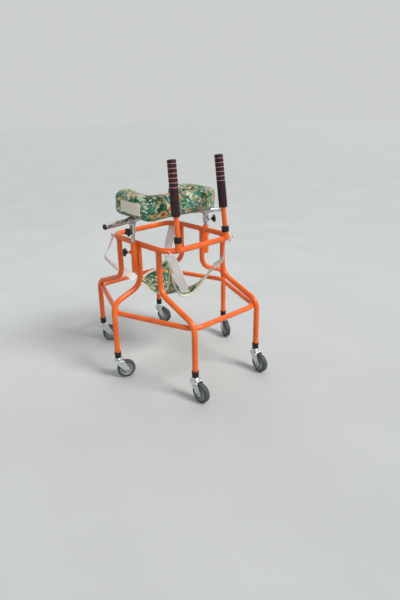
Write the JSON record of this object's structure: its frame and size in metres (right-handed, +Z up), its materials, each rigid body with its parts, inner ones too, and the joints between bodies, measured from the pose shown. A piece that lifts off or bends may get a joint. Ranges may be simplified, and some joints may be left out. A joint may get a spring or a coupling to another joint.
{
  "type": "paediatric walker",
  "caption": "Walker for a small child: tube frame with two rings on swivel casters, ribbed upright grips, C-shaped trunk pad on height-adjustable posts, sling seat.",
  "frame": {"origin": "on the floor, in the frame's middle plane, midway between the front and rear legs", "axes": "+Z up, -Y the way the child faces, +X to the child's left"},
  "size_m": [0.66, 0.7384, 0.8612],
  "materials": {
    "orange_paint": "gloss orange powder coat",
    "black_plastic": "satin black",
    "grip_rubber": "dark maroon, ribbed",
    "chrome": "polished",
    "zinc": "zinc plated",
    "hub_grey": "light grey",
    "tyre_grey": "dark grey, matt",
    "printed_cloth": "printed woven cotton",
    "pale_cloth": "cream hook-and-loop"
  },
  "bodies": {
    "frame": {"upper_ring": "orange_paint", "lower_ring": "orange_paint", "leg_rear_right": "orange_paint", "ferrule_rear_right": "black_plastic", "caster_rear_right_stem": "zinc", "leg_middle_right": "orange_paint", "ferrule_middle_right": "black_plastic", "caster_middle_right_stem": "zinc", "leg_front_right": "orange_paint", "ferrule_front_right": "black_plastic", "caster_front_right_stem": "zinc", "leg_front_left": "orange_paint", "ferrule_front_left": "black_plastic", "caster_front_left_stem": "zinc", "leg_middle_left": "orange_paint", "ferrule_middle_left": "black_plastic", "caster_middle_left_stem": "zinc", "leg_rear_left": "orange_paint", "ferrule_rear_left": "black_plastic", "caster_rear_left_stem": "zinc", "post_socket_right": "orange_paint", "handle_collar_right": "black_plastic", "post_socket_left": "orange_paint", "handle_collar_left": "black_plastic", "seat_sling": "printed_cloth"},
    "fork_rear_right": {"caster_rear_right_fork": "zinc"},
    "wheel_rear_right": {"caster_rear_right_hub": "hub_grey", "caster_rear_right_tyre": "tyre_grey"},
    "fork_middle_right": {"caster_middle_right_fork": "zinc"},
    "wheel_middle_right": {"caster_middle_right_hub": "hub_grey", "caster_middle_right_tyre": "tyre_grey"},
    "fork_front_right": {"caster_front_right_fork": "zinc"},
    "wheel_front_right": {"caster_front_right_hub": "hub_grey", "caster_front_right_tyre": "tyre_grey"},
    "fork_front_left": {"caster_front_left_fork": "zinc"},
    "wheel_front_left": {"caster_front_left_hub": "hub_grey", "caster_front_left_tyre": "tyre_grey"},
    "fork_middle_left": {"caster_middle_left_fork": "zinc"},
    "wheel_middle_left": {"caster_middle_left_hub": "hub_grey", "caster_middle_left_tyre": "tyre_grey"},
    "fork_rear_left": {"caster_rear_left_fork": "zinc"},
    "wheel_rear_left": {"caster_rear_left_hub": "hub_grey", "caster_rear_left_tyre": "tyre_grey"},
    "handle_right": {"handle_tube_right": "orange_paint", "grip_right": "grip_rubber"},
    "handle_left": {"handle_tube_left": "orange_paint", "grip_left": "grip_rubber"},
    "trunk_support": {"post_right": "chrome", "clamp_right": "chrome", "cross_bar_right": "chrome", "post_left": "chrome", "clamp_left": "chrome", "cross_bar_left": "chrome", "trunk_pad": "printed_cloth", "pad_patch": "pale_cloth"},
    "socket_knob_right": {"socket_knob_right": "black_plastic"},
    "socket_knob_left": {"socket_knob_left": "black_plastic"},
    "clamp_knob_right": {"clamp_knob_right": "black_plastic"},
    "clamp_knob_left": {"clamp_knob_left": "black_plastic"}
  },
  "joints": [
    {"name": "swivel_rear_right", "type": "hinge", "parent": "frame", "child": "fork_rear_right", "pos_m": [-0.165, 0.3246, 0.0775], "axis": [0, 0, 1], "continuous": true},
    {"name": "spin_rear_right", "type": "hinge", "parent": "fork_rear_right", "child": "wheel_rear_right", "pos_m": [-0.13827, 0.31098, 0.0375], "axis": [0.454, 0.891, 0], "continuous": true},
    {"name": "swivel_middle_right", "type": "hinge", "parent": "frame", "child": "fork_middle_right", "pos_m": [-0.2967, -0.005, 0.0775], "axis": [0, 0, 1], "continuous": true},
    {"name": "spin_middle_right", "type": "hinge", "parent": "fork_middle_right", "child": "wheel_middle_right", "pos_m": [-0.26851, -0.01526, 0.0375], "axis": [0.342, 0.9397, 0], "continuous": true},
    {"name": "swivel_front_right", "type": "hinge", "parent": "frame", "child": "fork_front_right", "pos_m": [-0.165, -0.3246, 0.0775], "axis": [0, 0, 1], "continuous": true},
    {"name": "spin_front_right", "type": "hinge", "parent": "fork_front_right", "child": "wheel_front_right", "pos_m": [-0.16395, -0.35458, 0.0375], "axis": [0.9994, 0.0349, 0], "continuous": true},
    {"name": "swivel_front_left", "type": "hinge", "parent": "frame", "child": "fork_front_left", "pos_m": [0.165, -0.3246, 0.0775], "axis": [0, 0, 1], "continuous": true},
    {"name": "spin_front_left", "type": "hinge", "parent": "fork_front_left", "child": "wheel_front_left", "pos_m": [0.16134, -0.35438, 0.0375], "axis": [0.9925, -0.1219, 0], "continuous": true},
    {"name": "swivel_middle_left", "type": "hinge", "parent": "frame", "child": "fork_middle_left", "pos_m": [0.2967, -0.005, 0.0775], "axis": [0, 0, 1], "continuous": true},
    {"name": "spin_middle_left", "type": "hinge", "parent": "fork_middle_left", "child": "wheel_middle_left", "pos_m": [0.28546, -0.03282, 0.0375], "axis": [0.9272, -0.3746, 0], "continuous": true},
    {"name": "swivel_rear_left", "type": "hinge", "parent": "frame", "child": "fork_rear_left", "pos_m": [0.165, 0.3246, 0.0775], "axis": [0, 0, 1], "continuous": true},
    {"name": "spin_rear_left", "type": "hinge", "parent": "fork_rear_left", "child": "wheel_rear_left", "pos_m": [0.17277, 0.29562, 0.0375], "axis": [0.9659, 0.2588, 0], "continuous": true},
    {"name": "handle_height_right", "type": "slide", "parent": "frame", "child": "handle_right", "axis": [0.0243, 0.1097, 0.9937], "range_m": [0, 0.02]},
    {"name": "handle_height_left", "type": "slide", "parent": "frame", "child": "handle_left", "axis": [-0.0243, 0.1097, 0.9937], "range_m": [0, 0.02]},
    {"name": "support_height", "type": "slide", "parent": "frame", "child": "trunk_support", "axis": [0, 0, 1], "range_m": [-0.012, 0.08]},
    {"name": "socket_knob_turn_right", "type": "hinge", "parent": "frame", "child": "socket_knob_right", "pos_m": [-0.1881, -0.005, 0.51], "axis": [-0.7071, 0.7071, 0], "range_deg": [0, 540]},
    {"name": "socket_knob_turn_left", "type": "hinge", "parent": "frame", "child": "socket_knob_left", "pos_m": [0.1881, -0.005, 0.51], "axis": [0.7071, 0.7071, 0], "range_deg": [0, 540]},
    {"name": "clamp_knob_turn_right", "type": "hinge", "parent": "trunk_support", "child": "clamp_knob_right", "pos_m": [-0.1881, -0.005, 0.59804], "axis": [-0.8572, -0.515, 0], "range_deg": [0, 540]},
    {"name": "clamp_knob_turn_left", "type": "hinge", "parent": "trunk_support", "child": "clamp_knob_left", "pos_m": [0.1881, -0.005, 0.57833], "axis": [0.8572, -0.515, 0], "range_deg": [0, 540]}
  ]
}
